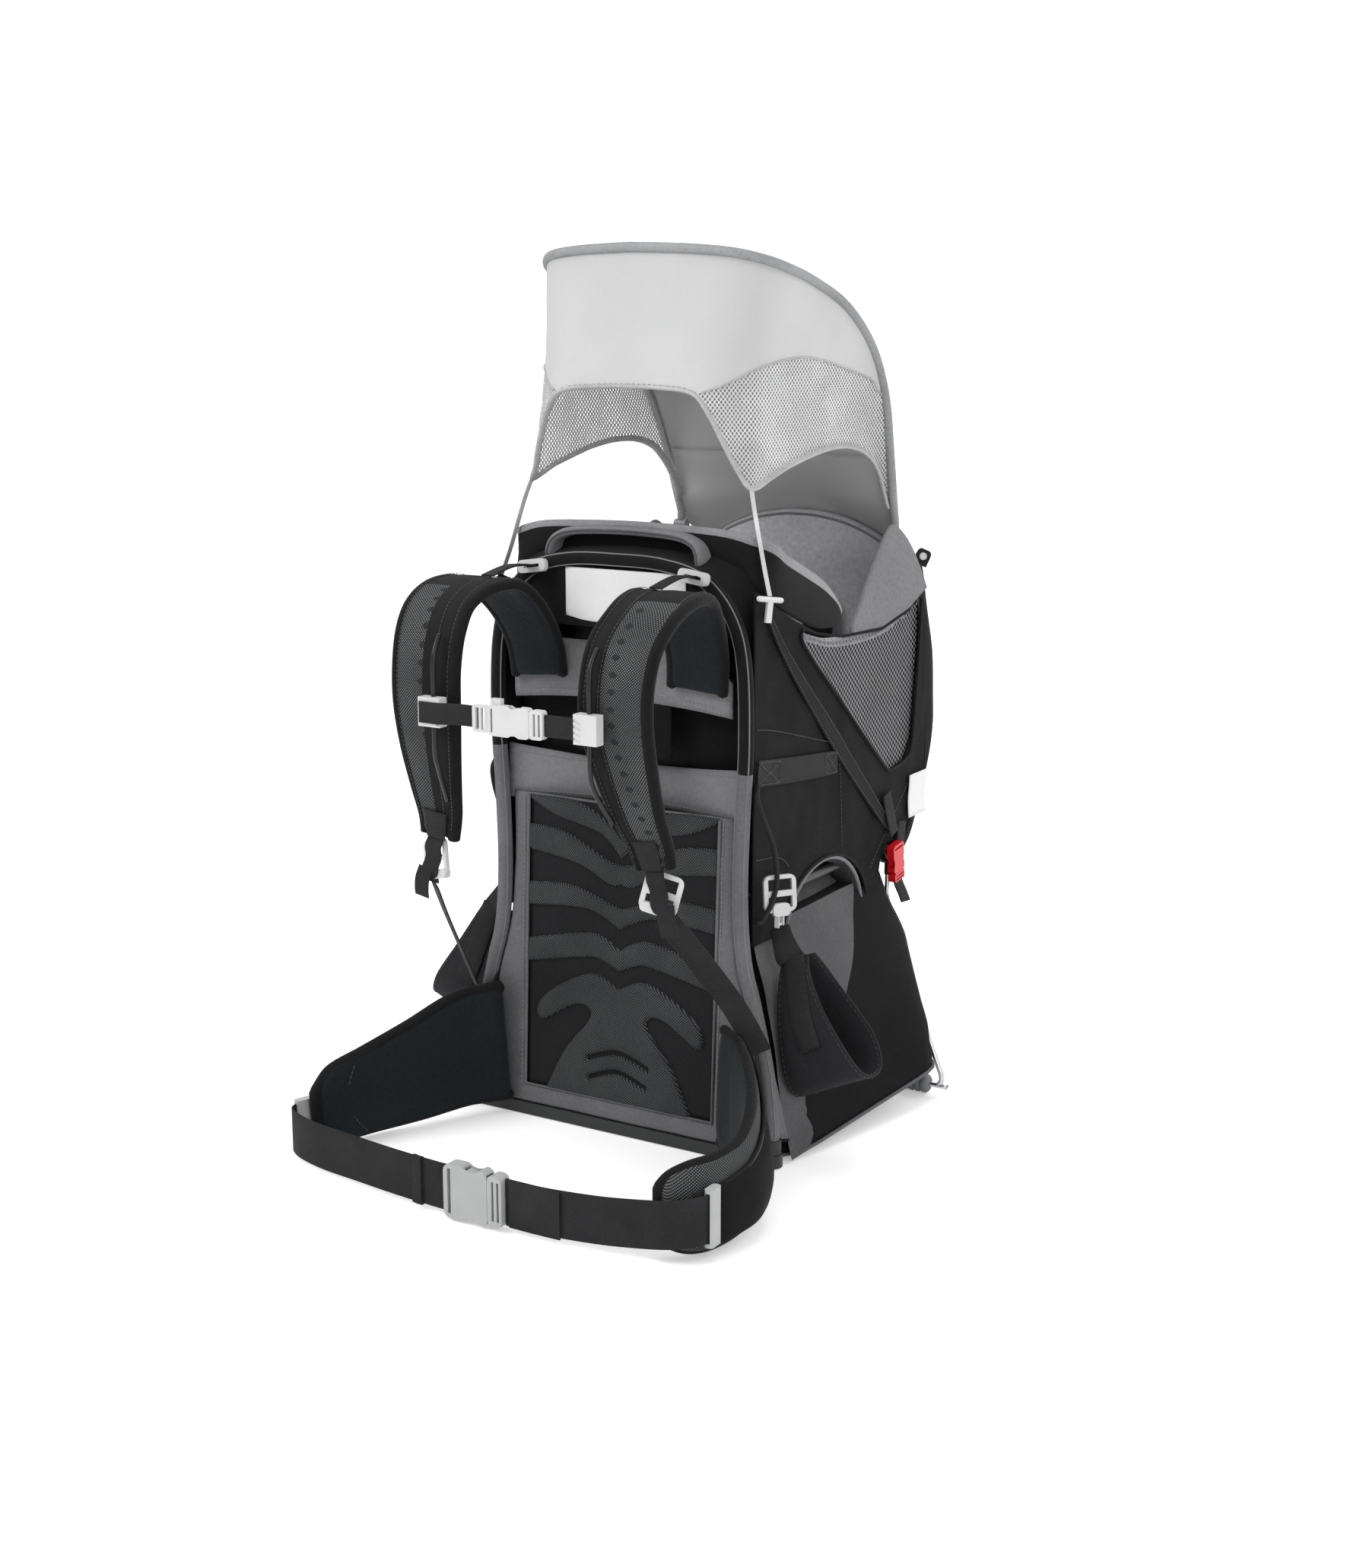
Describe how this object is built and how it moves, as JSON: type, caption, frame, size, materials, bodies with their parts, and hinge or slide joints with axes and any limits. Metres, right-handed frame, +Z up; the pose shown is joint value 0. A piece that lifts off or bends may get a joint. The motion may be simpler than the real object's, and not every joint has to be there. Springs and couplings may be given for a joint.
{
  "type": "child carrier backpack",
  "caption": "Framed backpack for carrying a child: padded seat, sunshade on a hoop, folding kickstand, sliding shoulder harness, hip belt and foot stirrups.",
  "frame": {"origin": "on the ground under the middle of the base bar", "axes": "+X to the side where the hip buckle's plug lies, +Y from the wearer to the child, +Z up"},
  "size_m": [0.5818, 0.7914, 0.9634],
  "materials": {
    "frame_metal": "dark powder-coated tube",
    "base_plastic": "moulded plastic",
    "back_mesh": "open mesh",
    "foam_mesh": "mesh-covered foam",
    "grey_cloth": "woven, matt",
    "black_cloth": "ripstop",
    "white_cloth": "smooth tape",
    "wrap_cloth": "padded, textured",
    "window_mesh": "honeycomb mesh",
    "black_webbing": "webbing",
    "grey_cord": "elastic cord",
    "white_plastic": "moulded, semi-gloss",
    "grey_plastic": "moulded, semi-gloss",
    "red_plastic": "moulded, semi-gloss",
    "black_plastic": "moulded, matt",
    "steel": "satin",
    "hoop_rod": "flexible rod in a cloth sleeve",
    "grey_rubber": "ribbed, matt",
    "shade_cloth": "thin woven",
    "white_webbing": "narrow webbing",
    "pad_mesh": "mesh-covered foam",
    "wing_cloth": "smooth stretch cloth over foam"
  },
  "bodies": {
    "pack": {"frame_tube": "frame_metal", "base_bar": "base_plastic", "seat_frame": "frame_metal", "back_mesh": "back_mesh", "back_foam": "foam_mesh", "back_border": "grey_cloth", "wide_band": "grey_cloth", "torso_board": "black_plastic", "top_panel": "black_cloth", "front_wall": "black_cloth", "blank_patches": "white_cloth", "haul_handle": "grey_cloth", "drool_pad": "black_cloth", "seat_wrap": "wrap_cloth", "seat_saddle": "grey_cloth", "child_harness": "black_cloth", "side_panel_left": "black_cloth", "side_panel_right": "black_cloth", "mesh_windows": "window_mesh", "rear_shell": "black_cloth", "rear_tabs": "black_webbing", "lower_bag": "black_cloth", "side_bands": "black_webbing", "elastic_loops": "grey_cord", "strap_buckles": "white_plastic", "kickstand_brackets": "black_plastic", "kickstand_pins": "steel", "sunshade_sockets": "black_plastic", "sunshade_pins": "steel", "harness_webbing": "black_webbing", "hip_wing_left": "wing_cloth", "hip_wing_right": "wing_cloth", "hip_belt_left": "black_webbing", "hip_belt_right": "black_webbing", "hip_adjusters": "white_plastic", "hip_socket": "grey_plastic", "side_buckle_sockets": "red_plastic"},
    "kickstand": {"kickstand_rod": "steel", "kickstand_knuckles": "black_plastic", "kickstand_feet": "grey_rubber"},
    "sunshade": {"sunshade_hoop": "hoop_rod", "sunshade_knuckles": "white_plastic", "sunshade_canopy": "shade_cloth", "sunshade_straps": "white_webbing", "sunshade_toggles": "white_plastic"},
    "harness": {"shoulder_yoke": "grey_cloth", "shoulder_pad_left": "pad_mesh", "shoulder_pad_right": "pad_mesh", "strap_rails": "black_webbing", "shoulder_ladder_locks": "white_plastic"},
    "chest_strap": {"chest_strap": "black_webbing", "chest_rail_clips": "white_plastic", "chest_socket": "white_plastic", "chest_plug_webbing": "black_webbing"},
    "chest_plug": {"chest_plug": "white_plastic"},
    "hip_plug": {"hip_plug": "grey_plastic"},
    "side_plug_left": {"side_buckle_plug_left": "red_plastic"},
    "side_plug_right": {"side_buckle_plug_right": "red_plastic"},
    "stirrup_left": {"stirrup_left": "black_cloth"},
    "stirrup_right": {"stirrup_right": "black_cloth"}
  },
  "joints": [
    {"name": "kickstand_hinge", "type": "hinge", "parent": "pack", "child": "kickstand", "pos_m": [0, 0.348, 0.262], "axis": [-1, 0, 0], "range_deg": [0, 38], "deforming": ["lower_bag"]},
    {"name": "sunshade_hinge", "type": "hinge", "parent": "pack", "child": "sunshade", "pos_m": [0, 0.373, 0.64], "axis": [-1, 0, 0], "range_deg": [0, 90]},
    {"name": "torso_slide", "type": "slide", "parent": "pack", "child": "harness", "axis": [0, 0, 1], "range_m": [-0.05, 0.015], "deforming": ["harness_webbing"]},
    {"name": "chest_strap_slide", "type": "slide", "parent": "harness", "child": "chest_strap", "axis": [0, 0, 1], "range_m": [-0.015, 0.015]},
    {"name": "chest_buckle", "type": "slide", "parent": "chest_strap", "child": "chest_plug", "axis": [1, 0, 0], "range_m": [0, 0.025], "deforming": ["chest_plug_webbing"]},
    {"name": "hip_buckle", "type": "slide", "parent": "pack", "child": "hip_plug", "axis": [1, 0, 0], "range_m": [0, 0.028], "deforming": ["hip_belt_right"]},
    {"name": "side_buckle_left_release", "type": "slide", "parent": "pack", "child": "side_plug_left", "axis": [0, 0.1392, -0.9903], "range_m": [0, 0.018]},
    {"name": "side_buckle_right_release", "type": "slide", "parent": "pack", "child": "side_plug_right", "axis": [0, 0.1392, -0.9903], "range_m": [0, 0.018]},
    {"name": "stirrup_left_swing", "type": "hinge", "parent": "pack", "child": "stirrup_left", "pos_m": [-0.177, 0.046, 0.256], "axis": [0, 1, 0], "range_deg": [0, 40]},
    {"name": "stirrup_right_swing", "type": "hinge", "parent": "pack", "child": "stirrup_right", "pos_m": [0.177, 0.046, 0.256], "axis": [0, -1, 0], "range_deg": [0, 40]}
  ]
}
